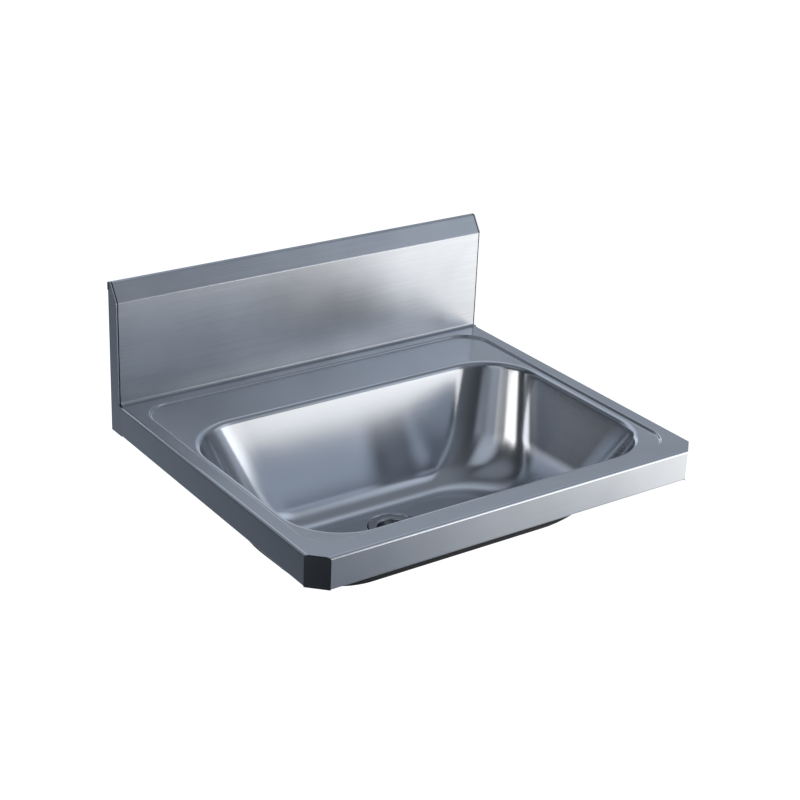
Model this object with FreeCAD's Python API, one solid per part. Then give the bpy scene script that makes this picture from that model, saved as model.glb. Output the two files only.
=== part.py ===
import FreeCAD, Part
import math
import os

# Wall-hung stainless steel hand wash basin, in millimetres, +Z up.
# X runs along the wall, the wall face is y = 0 and the front edge is at -depth.
# Heights below are counted from the top of the flat rim; the finished pieces are
# lowered by hang_height, so the origin is on the wall, between the rail's screw slots.

# ---- driving dimensions -------------------------------------------------------------

# sheet metal
sheet = 1.2                  # stainless sheet of every pressed and folded piece
fold_radius = 3.0            # outside radius of the folds that show
tight_fold = 1.0             # inside radius of the folds in brackets and channels
fit_gap = 0.3                # clearance between pieces that are put together loose
thread_gap = 0.1             # clearance of a nut on its thread

# overall
width = 525.0
depth = 450.0
apron_height = 38.0
apron_return = 12.0          # inward fold along the apron's bottom edge
corner_cut = 20.0            # leg of the 45 degree cut at each front corner

# splashback
splash_height = 150.0        # top above the rim
splash_face_height = 129.0   # where the sloping top begins
splash_thickness = 20.0      # wall to front face
splash_ledge = 6.0           # flat strip behind the sloping top
splash_lip = 10.0            # turned-down edge against the wall
splash_lip_proud = 0.8       # how far the lip stands past the end plates
cove_radius = 4.0            # between splashback and rim
foot_width = 1.0             # flat of the splashback's foot in front of the cove

# raised rim and sunk deck
rim_side = 17.5
rim_back = 17.0
rim_front = 26.0
step_depth = 3.0
step_run = 2.5
deck_corner_radius = 35.0

# bowl, all sizes on the visible side of the sheet
bowl_side_margin = 21.5      # outer edge to the bowl's mouth
bowl_back_margin = 88.0      # splashback face to the bowl's mouth
bowl_front_margin = 31.0
mouth_radius = 8.0           # rolled edge of the mouth
mouth_corner_radius = 75.0
corner_growth = 65.0         # how much the wall's corners open out towards the floor
bowl_depth = 136.5           # rim to the middle of the floor
floor_fall_deg = 2.0         # the floor falls backwards to the waste
side_draft_deg = 17.0
back_draft_deg = 19.0
front_draft_deg = 20.0
side_floor_radius = 80.0
back_floor_radius = 34.0
front_floor_radius = 118.0
roll_bands = 4               # ruled bands round the mouth's roll
bend_bands = 9               # and round the bends into the floor
pad_thickness = 3.0          # sound-deadening pads under the floor
pad_clearance = 46.0         # waste's axis to a pad
pad_length = 60.0            # front to back
pad_edge_margin = 17.0       # outer side of a pad to the start of the side bend

# waste recess and fitting, for a 1 1/2 inch outlet
waste_back = 220.0           # wall to the waste's axis
recess_radius = 33.0
recess_seat_radius = 31.6
recess_depth = 4.0
waste_hole_radius = 24.5
flange_radius = 31.0
flange_thickness = 1.6       # at its edge
throat_lip = 3.0             # lead-in from the flange into the throat
thread_radius = 23.9
throat_radius = 20.0
tail_bore_radius = 21.0      # from just above the cross bars down
waste_tail = 46.0            # seat of the flange to the end of the tail
cross_bar_width = 3.5
cross_bar_height = 5.0
cross_bar_drop = 16.0        # top of the bars below the seat
cross_hub_radius = 5.5
throat_step = 1.0            # end of the throat above the bars
waste_chamfer = 1.0          # on the end of the tail
seal_thickness = 1.4
lower_seal_radius = 31.0
lower_seal_thickness = 3.0
nut_across_flats = 60.0
nut_thickness = 9.0
nut_collar_radius = 31.0
nut_collar_thickness = 2.0
nut_bevel = 0.8              # taken off the hexagon's corners

# hanging gear behind the splashback
hang_height = 86.0           # rim to the rail's screw slots
rail_length = 400.0
rail_sheet = 2.0
rail_offset = 6.0            # how far the rail's upper leg stands off its lower leg
rail_leg = 30.0              # height of the leg against the wall
rail_upstand = 16.0          # height of the leg that carries the basin
rail_slot_spacing = 320.0
rail_slot_width = 7.0
rail_slot_length = 16.0
rail_edge = 0.8              # taken off the top edges, clear of the hook's fold
hook_sheet = 1.5
hook_length = 380.0
hook_drop = 13.0             # how far the hook hangs behind the rail
hook_foot = 34.0             # leg welded to the back of the splashback
tab_sheet = 2.0
tab_width = 22.0
tab_height = 24.0
tab_hole_radius = 3.5
tab_leg = 16.0               # depth of the leg welded to the end plate
tab_bottom = 3.0             # above the apron's bottom edge
tab_hole_inset = 13.0        # end plate to the hole

# stiffener under the rear of the deck
stiffener_length = 430.0
stiffener_width = 34.0
stiffener_height = 15.0
stiffener_flange = 10.0
stiffener_front_gap = 11.0   # to the bowl's mouth line

# earth tag inside the left apron
tag_sheet = 1.5
tag_width = 16.0
tag_reach = 20.0
tag_leg = 14.0
tag_from_wall = 60.0
tag_drop = 12.0              # rim to the top of the tag
earth_screw_radius = 3.0
earth_hole_radius = 3.3
earth_screw_length = 16.0
earth_head_radius = 5.0
earth_head_height = 3.6
earth_nut_flats = 10.0
earth_nut_height = 5.0
earth_washer_radius = 6.2
earth_washer_thickness = 1.2

# ---- places that follow from them ---------------------------------------------------

half_width = width / 2
splash_face = -splash_thickness
seam = splash_face - cove_radius - foot_width
deck_half = half_width - rim_side
deck_back = splash_face - rim_back
deck_front = rim_front - depth
land = -step_depth
mouth_half = half_width - bowl_side_margin
mouth_back = splash_face - bowl_back_margin
mouth_front = bowl_front_margin - depth
bowl_middle = (mouth_back + mouth_front) / 2
side_wall = (side_draft_deg, side_floor_radius)
back_wall = (back_draft_deg, back_floor_radius)
front_wall = (front_draft_deg, front_floor_radius)
floor_level = -bowl_depth
fall_slope = math.tan(math.radians(floor_fall_deg))
waste_y = -waste_back
waste_floor = floor_level - (waste_y - bowl_middle) * fall_slope
seat_level = waste_floor - recess_depth
WAY_UP = FreeCAD.Vector(0, 0, 1)


def vec(x, y, z):
    return FreeCAD.Vector(x, y, z)


def box(x0, y0, z0, x1, y1, z1):
    return Part.makeBox(x1 - x0, y1 - y0, z1 - z0, vec(x0, y0, z0))


def prism(points, way):
    """A polygon pushed along a vector."""
    return Part.Face(Part.makePolygon(points + points[:1])).extrude(way)


def cylinder(radius, height, x, y, z):
    """An upright cylinder standing on z."""
    return Part.makeCylinder(radius, height, vec(x, y, z))


def ring(outer, inner, height, x, y, z):
    return cylinder(outer, height, x, y, z).cut(cylinder(inner, height, x, y, z))


def turned(profile, x, y):
    """A closed (radius, height) outline turned about an upright axis."""
    points = [vec(x + r, y, z) for r, z in profile]
    face = Part.Face(Part.makePolygon(points + points[:1]))
    return face.revolve(vec(x, y, 0), WAY_UP, 360)


def hexagon(flats, height, x, y, z):
    points = []
    for i in range(6):
        angle = math.radians(60 * i + 30)
        reach = flats / math.sqrt(3)
        points.append(vec(x + reach * math.cos(angle), y + reach * math.sin(angle), z))
    return prism(points, vec(0, 0, height))


def edges_where(shape, test):
    """The edges whose ends and middle all pass a test on their point."""
    found = []
    for edge in shape.Edges:
        first, last = edge.ParameterRange
        points = [edge.valueAt(first), edge.valueAt((first + last) / 2), edge.valueAt(last)]
        if all(test(point) for point in points):
            found.append(edge)
    return found


def mirrored(shape):
    return shape.mirror(vec(0, 0, 0), vec(1, 0, 0))


def rounded_outline(half, back, front, back_radius, front_radius, z, tilt=0.0):
    """A rounded rectangle, symmetric about x = 0, tilted about the bowl's middle line."""
    corners = (
        (half, back, back_radius, 0),
        (-half, back, back_radius, 90),
        (-half, front, front_radius, 180),
        (half, front, front_radius, 270),
    )
    arcs = []
    for x, y, radius, start in corners:
        cx = x - math.copysign(radius, x)
        cy = y - radius if y == back else y + radius
        circle = Part.Circle(vec(cx, cy, z), WAY_UP, radius)
        arcs.append(Part.Arc(circle, math.radians(start), math.radians(start + 90)))
    edges = []
    for i, arc in enumerate(arcs):
        following = arcs[(i + 1) % 4]
        edges.append(arc.toShape())
        edges.append(Part.LineSegment(arc.EndPoint, following.StartPoint).toShape())
    wire = Part.Wire(edges)
    if tilt:
        wire.rotate(vec(0, bowl_middle, z), vec(1, 0, 0), -tilt)
    return wire


# ---- rim, deck and bowl -------------------------------------------------------------

def apron_outline(inset, rear=seam):
    """The plan of the rim's outer edge, moved inwards from the front and sides."""
    side = half_width - inset
    front = inset - depth
    cut = corner_cut - inset * (2 - math.sqrt(2))
    return [
        (side, rear),
        (side, front + cut),
        (side - cut, front),
        (cut - side, front),
        (-side, front + cut),
        (-side, rear),
    ]


def apron_block(inset, bottom, top, radius, rear=seam):
    """The rim's plan as a block, with its front and side top edges rounded."""
    points = [vec(x, y, bottom) for x, y in apron_outline(inset, rear)]
    block = prism(points, vec(0, 0, top - bottom))
    side = half_width - inset
    front = inset - depth

    def on_fold(point):
        if abs(point.z - top) > 0.01:
            return False
        return abs(abs(point.x) - side) < 0.01 or abs(point.y - front) < 0.01

    return block.makeFillet(radius, edges_where(block, on_fold)) if radius else block


def deck_tray(offset):
    """The sunk deck's space below the rim, or the sheet's under side around it."""
    grown = offset * math.tan(math.atan2(step_depth, step_run) / 2)

    def outline(run, z):
        inward = run - grown
        radius = deck_corner_radius - inward
        return rounded_outline(
            deck_half - inward, deck_back - inward, deck_front + inward, radius, radius, z)

    return Part.makeLoft([outline(0, -offset), outline(step_run, land - offset)], True, True)


class WallProfile:
    """One wall of the bowl: rolled mouth, drafted wall, and the bend into the floor.

    It gives how far the surface lies inside the mouth line at each height. An offset
    moves the surface outwards, for the sheet's under side.
    """

    def __init__(self, draft_deg, floor_radius, offset):
        draft = math.radians(draft_deg)
        self.roll = mouth_radius - offset
        self.bend = floor_radius + offset
        self.roll_z = land - mouth_radius
        wall_top = mouth_radius * math.cos(draft)
        wall_top_z = self.roll_z + mouth_radius * math.sin(draft)
        foot_z = floor_level + floor_radius * (1 - math.sin(draft))
        foot = wall_top + (wall_top_z - foot_z) * math.tan(draft)
        self.bend_x = foot + floor_radius * math.cos(draft)
        self.bend_z = floor_level + floor_radius
        self.upper = (self.roll * math.cos(draft), self.roll_z + self.roll * math.sin(draft))
        self.lower = (
            self.bend_x - self.bend * math.cos(draft),
            self.bend_z - self.bend * math.sin(draft),
        )

    def inset(self, z):
        if z >= self.upper[1]:
            return math.sqrt(max(0.0, self.roll ** 2 - (z - self.roll_z) ** 2))
        if z >= self.lower[1]:
            share = (self.upper[1] - z) / (self.upper[1] - self.lower[1])
            return self.upper[0] + share * (self.lower[0] - self.upper[0])
        return self.bend_x - math.sqrt(max(0.0, self.bend ** 2 - (self.bend_z - z) ** 2))


def bowl_section(z, offset):
    """The bowl's plan outline at a height."""
    side = WallProfile(*side_wall, offset).inset(z)
    back = WallProfile(*back_wall, offset).inset(z)
    front = WallProfile(*front_wall, offset).inset(z)
    share = (land - offset - z) / (land - floor_level)
    opened = mouth_corner_radius + corner_growth * share
    return rounded_outline(
        mouth_half - side,
        mouth_back - back,
        mouth_front + front,
        opened - (side + back) / 2,
        opened - (side + front) / 2,
        z,
        floor_fall_deg * share,
    )


def bowl_block(offset):
    """The bowl's space (offset 0), or the same grown by a thickness.

    Narrow ruled bands go round the roll and the bends, so the facets stay few.
    """
    walls = [WallProfile(*wall, offset) for wall in (side_wall, back_wall, front_wall)]
    roll_end = min(wall.upper[1] for wall in walls)
    wall_end = max(wall.lower[1] for wall in walls)
    roll, roll_z = walls[0].roll, walls[0].roll_z
    longest = max(walls, key=lambda wall: wall.bend)
    roll_turn = math.acos((roll_end - roll_z) / roll)
    first_turn = math.asin((longest.bend_z - wall_end) / longest.bend)
    heights = [
        roll_z + roll * math.cos(roll_turn * band / roll_bands)
        for band in range(roll_bands + 1)
    ]
    heights += [(roll_end + wall_end) / 2, wall_end]
    for band in range(1, bend_bands + 1):
        turn = first_turn + (math.pi / 2 - first_turn) * band / bend_bands
        heights.append(longest.bend_z - longest.bend * math.sin(turn))
    return Part.makeLoft([bowl_section(z, offset) for z in heights], True, True)


def recess_space(offset):
    """The stepped recess that the waste's flange lies in."""
    top = waste_floor + recess_radius * fall_slope + sheet
    bottom = seat_level - offset
    return turned(
        [
            (0, top),
            (recess_radius + offset, top),
            (recess_radius + offset, waste_floor - offset),
            (recess_seat_radius + offset, bottom),
            (0, bottom),
        ],
        0,
        waste_y,
    )


def corner_quad(side, outer, inner, bottom, top):
    """The upright block between two insets along a front corner's 45 degree cut."""
    outside = apron_outline(outer)[1:3]
    inside = apron_outline(inner)[1:3]
    plan = [outside[0], outside[1], inside[1], inside[0]]
    points = [vec(side * x, y, bottom) for x, y in plan]
    return prism(points, vec(0, 0, top - bottom))


def make_deck_and_bowl():
    """Rim, sunk deck, bowl and waste recess in one pressing, its aprons folded down."""
    past_rear = seam + sheet
    underside = sheet - apron_height
    outer = apron_block(0, -apron_height, 0, fold_radius)
    inside = apron_block(sheet, underside, -sheet, fold_radius - sheet, past_rear)
    mouth_below = apron_block(
        sheet + apron_return, -apron_height - sheet, underside + sheet, 0, past_rear)
    metal = outer.cut(inside).cut(mouth_below)
    metal = metal.fuse([deck_tray(sheet), bowl_block(sheet), recess_space(sheet)])
    metal = metal.cut(deck_tray(0)).cut(bowl_block(0)).cut(recess_space(0))
    metal = metal.cut(cylinder(waste_hole_radius, 4 * sheet, 0, waste_y, seat_level - 2 * sheet))
    for side in (1, -1):
        metal = metal.cut(corner_quad(side, 0, sheet, -apron_height, -sheet))
        metal = metal.cut(corner_quad(side, sheet, sheet + apron_return, -apron_height, underside))
    return metal.removeSplitter()


def make_corner_plate(side):
    """The flat plate that closes one cut front corner."""
    plate = corner_quad(side, 0, sheet, -apron_height, -sheet)
    return plate.common(apron_block(0, -apron_height, 0, fold_radius))


def make_sound_pads():
    """Two pads stuck to the floor's under side, left and right of the waste."""
    level = floor_level - sheet
    outer = mouth_half - WallProfile(*side_wall, sheet).bend_x - pad_edge_margin
    back = mouth_back - WallProfile(*back_wall, sheet).bend_x
    front = mouth_front + WallProfile(*front_wall, sheet).bend_x
    near = (front + back - pad_length) / 2
    pad = box(pad_clearance, near, level - pad_thickness, outer, near + pad_length, level)
    pads = Part.Compound([pad, mirrored(pad)])
    pads.rotate(vec(0, bowl_middle, level), vec(1, 0, 0), -floor_fall_deg)
    return pads


# ---- folded strips ------------------------------------------------------------------

def set_out(axis, u, v, w):
    """A point from profile coordinates u, v and a place w along the strip's axis."""
    if axis == "x":
        return vec(w, u, v)
    if axis == "y":
        return vec(u, w, v)
    return vec(u, v, w)


def folded_strip(path, bends, thickness, axis, start, end):
    """A sheet strip folded along a path, its thickness to the left of the way along it.

    bends holds the inside radius of each fold in turn.
    """
    ways = []
    for (u0, v0), (u1, v1) in zip(path, path[1:]):
        run = math.hypot(u1 - u0, v1 - v0)
        ways.append(((u1 - u0) / run, (v1 - v0) / run))
    normals = [(-v, u) for u, v in ways]
    mitres = [normals[0]]
    for (a, b), (c, d) in zip(normals, normals[1:]):
        scale = 1 / (1 + a * c + b * d)
        mitres.append(((a + c) * scale, (b + d) * scale))
    mitres.append(normals[-1])
    far = [(u + thickness * a, v + thickness * b) for (u, v), (a, b) in zip(path, mitres)]
    plan = [set_out(axis, u, v, start) for u, v in path + far[::-1]]
    along = set_out(axis, 0, 0, 1)
    strip = prism(plan, along * (end - start))
    for i, bend in enumerate(bends, 1):
        turn = ways[i - 1][0] * ways[i][1] - ways[i - 1][1] * ways[i][0]
        near_radius = bend + thickness if turn > 0 else bend
        far_radius = bend if turn > 0 else bend + thickness
        for (u, v), radius in ((path[i], near_radius), (far[i], far_radius)):
            line = set_out(axis, u, v, 0)

            def on_line(point):
                return (point - line).cross(along).Length < 0.01

            strip = strip.makeFillet(radius, edges_where(strip, on_line))
    return strip


def slot(x, z, wide, long, y, through):
    """A round-ended slot along X, cut along Y to both sides of y."""
    radius = wide / 2
    reach = long / 2 - radius
    middle = box(x - reach, y - through, z - radius, x + reach, y + through, z + radius)
    ends = [
        Part.makeCylinder(radius, 2 * through, vec(x + end, y - through, z), vec(0, 1, 0))
        for end in (-reach, reach)
    ]
    return middle.fuse(ends)


# ---- splashback ---------------------------------------------------------------------

def make_splashback():
    """Lip against the wall, ledge, sloping top, upright face, cove and foot."""
    path = [
        (0, splash_height - splash_lip),
        (0, splash_height),
        (-splash_ledge, splash_height),
        (splash_face, splash_face_height),
        (splash_face, 0),
        (seam, 0),
    ]
    fold = fold_radius - sheet
    bends = [fold, fold, fold, cove_radius]
    reach = half_width - sheet
    lip_reach = half_width + splash_lip_proud
    panel = folded_strip(path, bends, sheet, "x", -reach, reach)
    lip = folded_strip(path, bends, sheet, "x", -lip_reach, lip_reach)
    strip = box(-width, -sheet, splash_height - splash_lip, width, 0, splash_height)
    return panel.fuse(lip.common(strip)).removeSplitter()


def make_splash_end(side):
    """The end plate that closes the splashback and the apron's rear end in one piece."""
    plan = [
        (0, -apron_height),
        (0, splash_height),
        (-splash_ledge, splash_height),
        (splash_face, splash_face_height),
        (splash_face, 0),
        (seam, 0),
        (seam, -apron_height),
    ]
    plate = prism([vec(half_width - sheet, y, z) for y, z in plan], vec(sheet, 0, 0))
    for y, z in plan[2:4]:
        def on_bend(point):
            return math.hypot(point.y - y, point.z - z) < 0.01

        plate = plate.makeFillet(fold_radius, edges_where(plate, on_bend))
    notch = box(0, -sheet, splash_height - splash_lip, width, sheet, splash_height + sheet)
    plate = plate.cut(notch)
    return plate if side > 0 else mirrored(plate)


# ---- hanging gear -------------------------------------------------------------------

rail_leg_top = hang_height + rail_leg / 2
rail_top = rail_leg_top + rail_offset + rail_upstand
hook_top = rail_top + fit_gap + hook_sheet
hook_back = fit_gap + hook_sheet - rail_offset


def make_wall_rail():
    """Joggled rail, screwed to the wall; the basin's hook drops behind its upper leg."""
    path = [
        (0, hang_height - rail_leg / 2),
        (0, rail_leg_top),
        (-rail_offset, rail_leg_top + rail_offset),
        (-rail_offset, rail_top),
    ]
    bends = [tight_fold, tight_fold]
    half = rail_length / 2
    rail = folded_strip(path, bends, rail_sheet, "x", -half, half)
    top_edges = edges_where(rail, lambda point: abs(point.z - rail_top) < 0.01)
    rail = rail.makeChamfer(rail_edge, [edge for edge in top_edges if edge.Length > rail_sheet])
    for x in (-rail_slot_spacing / 2, rail_slot_spacing / 2):
        rail = rail.cut(slot(x, hang_height, rail_slot_width, rail_slot_length, 0, 2 * rail_sheet))
    return rail


def make_hook_channel():
    """Hook welded behind the splashback's face."""
    behind_face = splash_face + sheet
    path = [
        (hook_back, hook_top - hook_sheet - hook_drop),
        (hook_back, hook_top),
        (behind_face, hook_top),
        (behind_face, hook_top - hook_foot),
    ]
    bends = [tight_fold, tight_fold]
    half = hook_length / 2
    return folded_strip(path, bends, hook_sheet, "x", -half, half)


def make_lower_tab(side):
    """Angle welded inside an end plate, with a hole for a screw into the wall."""
    wall = half_width - sheet
    path = [(tab_width - wall, 0), (-wall, 0), (-wall, -tab_leg)]
    bottom = tab_bottom - apron_height
    tab = folded_strip(path, [tight_fold], tab_sheet, "z", bottom, bottom + tab_height)
    hole = Part.makeCylinder(
        tab_hole_radius,
        4 * tab_sheet,
        vec(tab_hole_inset - wall, -2 * tab_sheet, bottom + tab_height / 2),
        vec(0, 1, 0),
    )
    tab = tab.cut(hole)
    return tab if side < 0 else mirrored(tab)


def make_deck_stiffener():
    """Hat section under the flat strip between the bowl and the splashback."""
    under = land - sheet
    front = mouth_back + stiffener_front_gap
    rear = front + 2 * stiffener_flange + stiffener_width
    path = [
        (rear, under),
        (rear - stiffener_flange, under),
        (rear - stiffener_flange, under - stiffener_height),
        (front + stiffener_flange, under - stiffener_height),
        (front + stiffener_flange, under),
        (front, under),
    ]
    half = stiffener_length / 2
    return folded_strip(path, [tight_fold] * 4, sheet, "x", -half, half)


# ---- earth tag ----------------------------------------------------------------------

tag_y = -tag_from_wall
tag_hole_x = sheet - half_width + tag_reach - tag_width / 2


def make_earth_tag():
    wall = half_width - sheet
    path = [(tag_reach - wall, -tag_drop), (-wall, -tag_drop), (-wall, -tag_drop - tag_leg)]
    start = tag_y - tag_width / 2
    tag = folded_strip(path, [tight_fold], tag_sheet, "y", start, start + tag_width)
    return tag.cut(cylinder(earth_hole_radius, 4 * tag_sheet, tag_hole_x, tag_y,
                            -tag_drop - 2 * tag_sheet))


def make_earth_washer():
    return ring(earth_washer_radius, earth_hole_radius, earth_washer_thickness,
                tag_hole_x, tag_y, -tag_drop)


def make_earth_screw():
    head_seat = earth_washer_thickness - tag_drop
    head = cylinder(earth_head_radius, earth_head_height, tag_hole_x, tag_y, head_seat)
    shank = cylinder(earth_screw_radius, earth_screw_length, tag_hole_x, tag_y,
                     head_seat - earth_screw_length)
    return head.fuse(shank).removeSplitter()


def make_earth_nut():
    top = -tag_drop - tag_sheet
    nut = hexagon(earth_nut_flats, earth_nut_height, tag_hole_x, tag_y, top - earth_nut_height)
    return nut.cut(cylinder(
        earth_screw_radius + thread_gap, earth_nut_height, tag_hole_x, tag_y,
        top - earth_nut_height))


# ---- waste fitting ------------------------------------------------------------------

def make_waste_body():
    """Flange, throat with its cross bars, and the tail that takes the trap's nut."""
    under = seat_level + seal_thickness
    rim = under + flange_thickness
    edge = flange_radius - flange_thickness / 2
    bottom = seat_level - waste_tail
    bar_top = seat_level - cross_bar_drop
    body = turned([
        (flange_radius, under),
        (flange_radius, rim - flange_thickness / 2),
        (edge, rim),
        (throat_radius + throat_lip, rim),
        (throat_radius, rim - throat_lip),
        (throat_radius, bar_top + throat_step),
        (tail_bore_radius, bar_top + throat_step),
        (tail_bore_radius, bottom),
        (thread_radius - waste_chamfer, bottom),
        (thread_radius, bottom + waste_chamfer),
        (thread_radius, under),
    ], 0, waste_y)
    bar_bottom = bar_top - cross_bar_height
    half = cross_bar_width / 2
    long = (tail_bore_radius + thread_radius) / 2
    bars = box(-half, waste_y - long, bar_bottom, half, waste_y + long, bar_top)
    bars = bars.fuse(box(-long, waste_y - half, bar_bottom, long, waste_y + half, bar_top))
    bars = bars.fuse(cylinder(cross_hub_radius, cross_bar_height, 0, waste_y, bar_bottom))
    return body.fuse(bars).removeSplitter()


def make_flange_seal():
    return ring(flange_radius - fit_gap, thread_radius + fit_gap, seal_thickness,
                0, waste_y, seat_level)


def make_lower_seal():
    top = seat_level - sheet
    return ring(lower_seal_radius, thread_radius + fit_gap, lower_seal_thickness,
                0, waste_y, top - lower_seal_thickness)


nut_top = seat_level - sheet - lower_seal_thickness


def make_waste_backnut():
    """Hexagon with a round pressing collar."""
    collar = cylinder(nut_collar_radius, nut_collar_thickness, 0, waste_y,
                      nut_top - nut_collar_thickness)
    grip = hexagon(nut_across_flats, nut_thickness, 0, waste_y, nut_top - nut_thickness)
    rounded = nut_across_flats / math.sqrt(3) - nut_bevel
    grip = grip.common(cylinder(rounded, nut_thickness, 0, waste_y, nut_top - nut_thickness))
    bore = cylinder(thread_radius + thread_gap, nut_thickness, 0, waste_y,
                    nut_top - nut_thickness)
    return grip.fuse(collar).cut(bore).removeSplitter()


# ---- pieces -------------------------------------------------------------------------

PIECES = {
    "deck_and_bowl": make_deck_and_bowl,
    "corner_plate_left": lambda: make_corner_plate(-1),
    "corner_plate_right": lambda: make_corner_plate(1),
    "splashback": make_splashback,
    "splash_end_left": lambda: make_splash_end(-1),
    "splash_end_right": lambda: make_splash_end(1),
    "sound_pads": make_sound_pads,
    "deck_stiffener": make_deck_stiffener,
    "hook_channel": make_hook_channel,
    "lower_tab_left": lambda: make_lower_tab(-1),
    "lower_tab_right": lambda: make_lower_tab(1),
    "earth_tag": make_earth_tag,
    "earth_screw": make_earth_screw,
    "earth_washer": make_earth_washer,
    "earth_nut": make_earth_nut,
    "waste_body": make_waste_body,
    "waste_flange_seal": make_flange_seal,
    "waste_lower_seal": make_lower_seal,
    "waste_backnut": make_waste_backnut,
    "wall_rail": make_wall_rail,
}

os.makedirs("parts", exist_ok=True)
for name, make in PIECES.items():
    shape = make()
    shape.translate(vec(0, 0, -hang_height))
    shape.exportStep("parts/" + name + ".step")
    print(name, "solids", len(shape.Solids), "valid", shape.isValid(),
          "volume", round(shape.Volume, 1))
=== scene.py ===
import math

import bpy
from mathutils import Matrix, Vector


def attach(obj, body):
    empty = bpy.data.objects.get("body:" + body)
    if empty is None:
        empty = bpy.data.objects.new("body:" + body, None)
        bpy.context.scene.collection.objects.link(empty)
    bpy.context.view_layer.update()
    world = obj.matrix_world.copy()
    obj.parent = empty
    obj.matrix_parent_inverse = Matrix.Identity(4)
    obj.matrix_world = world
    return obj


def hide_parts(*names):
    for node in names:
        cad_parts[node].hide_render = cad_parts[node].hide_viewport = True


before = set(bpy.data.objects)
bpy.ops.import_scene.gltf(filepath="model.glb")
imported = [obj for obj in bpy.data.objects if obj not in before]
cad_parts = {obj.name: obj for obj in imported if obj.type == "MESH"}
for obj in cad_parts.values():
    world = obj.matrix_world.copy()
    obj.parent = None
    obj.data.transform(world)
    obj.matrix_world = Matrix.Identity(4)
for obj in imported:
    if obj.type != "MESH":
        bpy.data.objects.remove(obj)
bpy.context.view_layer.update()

# Wall-hung stainless steel hand wash basin. Sizes below are millimetres in the deck
# frame (rim top z = 0, wall y = 0); hang_height lowers them into the row frame. A wall
# of the bowl is given by its draft in degrees and its bend's radius at the floor.

MM = 0.001

# ---- sizes, as in the CAD model -------------------------------------------------------

hang_height = 86.0
sheet = 1.2
fold_radius = 3.0
width, depth = 525.0, 450.0
apron_height, apron_return, corner_cut = 38.0, 12.0, 20.0
splash_height, splash_face_height, splash_thickness = 150.0, 129.0, 20.0
splash_ledge, splash_lip, splash_lip_proud = 6.0, 10.0, 0.8
cove_radius, foot_width = 4.0, 1.0
rim_side, rim_back, rim_front = 17.5, 17.0, 26.0
step_depth, deck_corner_radius = 3.0, 35.0
bowl_side_margin, bowl_back_margin, bowl_front_margin = 21.5, 88.0, 31.0
mouth_radius, mouth_corner_radius, corner_growth = 8.0, 75.0, 65.0
bowl_depth, floor_fall_deg = 136.5, 2.0
side_wall, back_wall, front_wall = (17.0, 80.0), (19.0, 34.0), (20.0, 118.0)
waste_back, waste_hole_radius = 220.0, 24.5
recess_radius, recess_seat_radius, recess_depth = 33.0, 31.6, 4.0
flange_radius, flange_thickness, seal_thickness = 31.0, 1.6, 1.4
throat_radius, throat_lip, throat_step, tail_bore_radius = 20.0, 3.0, 1.0, 21.0
thread_radius, waste_tail, waste_chamfer = 23.9, 46.0, 1.0
cross_bar_width, cross_bar_height, cross_bar_drop, cross_hub_radius = 3.5, 5.0, 16.0, 5.5
tag_drop, tag_reach, tag_width, tag_from_wall = 12.0, 20.0, 16.0, 60.0
earth_screw_radius, earth_screw_length, earth_washer_thickness = 3.0, 16.0, 1.2
earth_head_radius, earth_head_height = 5.0, 3.6

half_width = width / 2
splash_face = -splash_thickness
seam = splash_face - cove_radius - foot_width
deck_half = half_width - rim_side
deck_back = splash_face - rim_back
deck_front = rim_front - depth
land = -step_depth
mouth_half = half_width - bowl_side_margin
mouth_back = splash_face - bowl_back_margin
mouth_front = bowl_front_margin - depth
bowl_middle = (mouth_back + mouth_front) / 2
floor_level = -bowl_depth
fall_slope = math.tan(math.radians(floor_fall_deg))
waste_y = -waste_back
waste_floor = floor_level - (waste_y - bowl_middle) * fall_slope
seat_level = waste_floor - recess_depth
cut_reach = half_width + depth - corner_cut      # |x| + |y| on the cut corners

# ---- sizes of the small forms that are in this scene alone ----------------------------

short_run = 0.4                  # flat beside a fold, which keeps its shading narrow
apron_foot_radius = 2.4          # fold at the apron's bottom edge
splash_lip_fold = 1.8            # fold between the splashback's ledge and its lip
joint_width, joint_depth = 1.4, 1.0      # groove between splashback and end plates
bead_stations = (3.3, 3.1, -0.7, -1.0)   # flat, foot, top and flat, inside the step
hole_flat = 0.7                  # flat of the recess's seat round the waste hole
edge_ease, bore_ease = 0.3, 0.2  # eased edges of the turned pieces
tail_pitch, tail_cut, tail_rows = 2.309, 1.1, 10       # thread, and its rows in one turn
tail_thread_start, tail_thread_end = 0.6, 1.0          # off the tail's end and the sheet
tail_lead = 2.0                  # height in which the thread's crests reach their radius
screw_pitch, screw_cut, screw_rows = 1.0, 0.55, 130    # thread, and its rows in all
screw_neck = 2.0                 # plain shank under the head
screw_lead_radius, screw_lead_slope, screw_tip_radius = 2.5, 0.8, 2.3
head_round = 0.6
socket_flats, socket_depth, socket_ease = 4.0, 2.2, 0.35
cross_web = 1.2                  # fillet's reach along a bar from the hub
SEAT_ROLL = (                    # out from the seat's edge, and up from the seat
    (-1.6, 0.0), (-0.9, 0.12), (-0.4, 0.5), (-0.1, 1.1))
LIP_ROLL = (                     # out from the recess's edge, and down from the floor
    (-0.8, 1.6), (-0.5, 0.9), (0.0, 0.4), (0.7, 0.1), (1.5, 0.0), (2.2, 0.0))
SOCKET_MOUTH = (                 # radius, and down from the head's top
    (2.6, 0.02), (2.8, 0.0))
CROSS_TOP = (                    # inset, and down from the top of the bars
    (0.6, 0.0), (0.25, 0.1), (0.05, 0.4), (0.0, 0.8))
CROSS_FOOT = (                   # inset, and up from the bottom of the bars
    (0.0, 0.5), (0.1, 0.15), (0.4, 0.0))

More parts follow.
